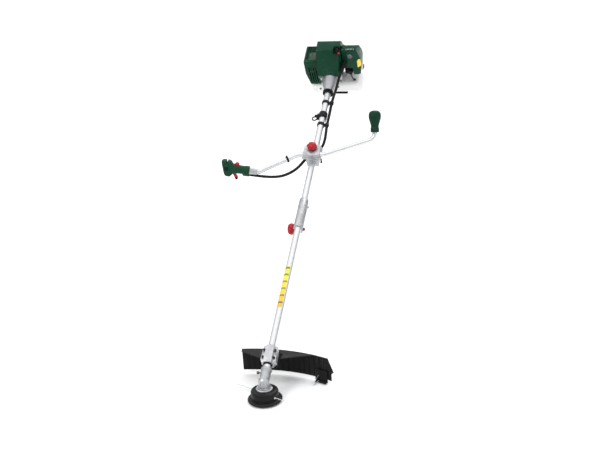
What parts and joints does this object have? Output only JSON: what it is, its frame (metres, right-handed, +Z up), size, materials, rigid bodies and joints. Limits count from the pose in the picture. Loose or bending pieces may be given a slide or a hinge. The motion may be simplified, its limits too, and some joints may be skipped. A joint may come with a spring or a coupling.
{
  "type": "string trimmer",
  "caption": "Petrol string trimmer with a split shaft, two-arm handlebar, throttle handle, guard and tap-feed line head, standing on its head in working posture.",
  "frame": {"origin": "centre of the line head's base, on the ground", "axes": "+Z up along the head's spin axis, +Y over the ground from the head towards the engine, +X to the operator's left"},
  "size_m": [0.6211, 1.5642, 0.9906],
  "materials": {
    "black_plastic": "fine-grained moulded, slightly scuffed",
    "head_plastic": "glass-filled nylon, satin",
    "green_plastic": "deep green, glossy moulded",
    "green_grip": "textured green rubber",
    "red_plastic": "red, glossy moulded",
    "white_tube": "white-silver powder coat",
    "cast_aluminium": "die-cast, shot-blasted",
    "steel": "machined",
    "black_steel": "black oxide screws",
    "cable_black": "ribbed black conduit",
    "rubber_black": "soft black rubber",
    "tank_plastic": "translucent natural polyethylene",
    "nylon_line": "clear-white monofilament",
    "iron": "machined casting"
  },
  "bodies": {
    "root": {"gear_case": "cast_aluminium", "guard_shell": "black_plastic", "guard_skirt": "black_plastic", "line_cutter": "steel", "guard_clamp": "cast_aluminium", "clamp_liner": "rubber_black", "screws": "black_steel", "lower_tube": "white_tube", "bearings": "steel", "coupling_sleeve": "cast_aluminium", "upper_tube": "white_tube", "handlebar_base": "cast_aluminium", "shaft_cable": "cable_black", "cable_clips": "black_plastic", "harness_clamp": "black_plastic", "harness_eye": "steel", "clutch_housing": "cast_aluminium", "crankcase": "cast_aluminium", "piston": "cast_aluminium", "cylinder": "cast_aluminium", "spark_plug": "steel", "muffler": "black_steel", "muffler_cover": "green_plastic", "engine_shroud": "green_plastic", "air_filter_cover": "green_plastic", "carburettor": "cast_aluminium", "starter_housing": "black_plastic", "fuel_tank": "tank_plastic", "tank_foot": "black_plastic"},
    "head": {"spool_housing": "head_plastic", "spool_base": "head_plastic", "spool_spring": "steel", "cutting_line": "nylon_line", "head_flange": "cast_aluminium", "output_shaft": "steel"},
    "tap_spool": {"line_spool": "head_plastic", "bump_button": "head_plastic"},
    "drive": {"lower_drive_shaft": "steel", "upper_drive_shaft": "steel", "clutch_drum": "steel"},
    "engine_rotor": {"crankshaft": "steel", "flywheel_fan": "cast_aluminium", "clutch_shoes": "iron"},
    "handlebar": {"handlebar_clamp": "cast_aluminium", "handlebar_tube": "white_tube", "left_grip": "green_grip", "throttle_shell_front": "green_plastic", "throttle_shell_rear": "green_plastic", "handlebar_cable": "cable_black"},
    "bar_knob": {"handlebar_knob": "red_plastic"},
    "coupling_screw": {"coupling_knob": "red_plastic"},
    "coupling_button": {"lock_button": "black_plastic"},
    "throttle_trigger": {"trigger": "red_plastic"},
    "throttle_lockout": {"lockout_lever": "red_plastic"},
    "engine_switch": {"stop_switch": "black_plastic"},
    "filter_screw": {"filter_knob": "black_plastic"},
    "primer": {"primer_bulb": "rubber_black"},
    "choke": {"choke_lever": "red_plastic"},
    "starter_pull": {"starter_grip": "black_plastic"},
    "tank_cap": {"fuel_cap": "black_plastic"}
  },
  "joints": [
    {"name": "head_spin", "type": "hinge", "parent": "root", "child": "head", "pos_m": [0, 0, 0.03], "axis": [0, 0, 1], "continuous": true},
    {"name": "tap_feed", "type": "slide", "parent": "head", "child": "tap_spool", "axis": [0, 0, 1], "range_m": [0, 0.005], "stiffness_N_per_m": 400, "deforming": ["spool_spring"]},
    {"name": "drive_spin", "type": "hinge", "parent": "root", "child": "drive", "pos_m": [0, 0.34641, 0.268], "axis": [0, 0.866, 0.5], "continuous": true},
    {"name": "engine_spin", "type": "hinge", "parent": "root", "child": "engine_rotor", "pos_m": [0, 1.38564, 0.868], "axis": [0, 0.866, 0.5], "continuous": true},
    {"name": "handlebar_swivel", "type": "hinge", "parent": "root", "child": "handlebar", "pos_m": [0, 0.90625, 0.61432], "axis": [0, -0.5, 0.866], "range_deg": [-90, 0], "deforming": ["handlebar_cable"]},
    {"name": "handlebar_knob_turn", "type": "hinge", "parent": "handlebar", "child": "bar_knob", "pos_m": [0, 0.89125, 0.6403], "axis": [0, -0.5, 0.866], "continuous": true},
    {"name": "coupling_knob_turn", "type": "hinge", "parent": "root", "child": "coupling_screw", "pos_m": [-0.03, 0.60806, 0.39481], "axis": [1, 0, 0], "continuous": true},
    {"name": "lock_button_press", "type": "slide", "parent": "root", "child": "coupling_button", "axis": [-1, 0, 0], "range_m": [0, 0.0018], "stiffness_N_per_m": 500},
    {"name": "trigger_pull", "type": "hinge", "parent": "handlebar", "child": "throttle_trigger", "pos_m": [-0.30617, 0.77687, 0.57518], "axis": [0.1699, -0.9839, -0.0546], "range_deg": [0, 15], "stiffness_Nm_per_rad": 0.4, "springref_deg": -20.05},
    {"name": "lockout_press", "type": "hinge", "parent": "handlebar", "child": "throttle_lockout", "pos_m": [-0.29718, 0.77702, 0.60043], "axis": [-0.1699, 0.9839, 0.0546], "range_deg": [0, 8], "stiffness_Nm_per_rad": 0.3, "springref_deg": -17.19},
    {"name": "stop_switch_slide", "type": "slide", "parent": "handlebar", "child": "engine_switch", "axis": [-0.9663, -0.1772, 0.1868], "range_m": [0, 0.006]},
    {"name": "filter_knob_turn", "type": "hinge", "parent": "root", "child": "filter_screw", "pos_m": [0.088, 1.305, 0.92767], "axis": [0, 0.866, 0.5], "continuous": true},
    {"name": "primer_press", "type": "slide", "parent": "root", "child": "primer", "axis": [0, 0.866, 0.5], "range_m": [0, 0.002], "stiffness_N_per_m": 400},
    {"name": "choke_turn", "type": "hinge", "parent": "root", "child": "choke", "pos_m": [0.13, 1.3901, 0.86827], "axis": [1, 0, 0], "range_deg": [0, 70]},
    {"name": "starter_pull_out", "type": "slide", "parent": "root", "child": "starter_pull", "axis": [1, 0, 0], "range_m": [0, 0.25], "stiffness_N_per_m": 25},
    {"name": "fuel_cap_turn", "type": "hinge", "parent": "root", "child": "tank_cap", "pos_m": [0.07, 1.46621, 0.82445], "axis": [0, 0.866, 0.5], "continuous": true}
  ],
  "couplings": [
    {"joint": "drive_spin", "follows": "head_spin", "ratio": 1.2308}
  ]
}
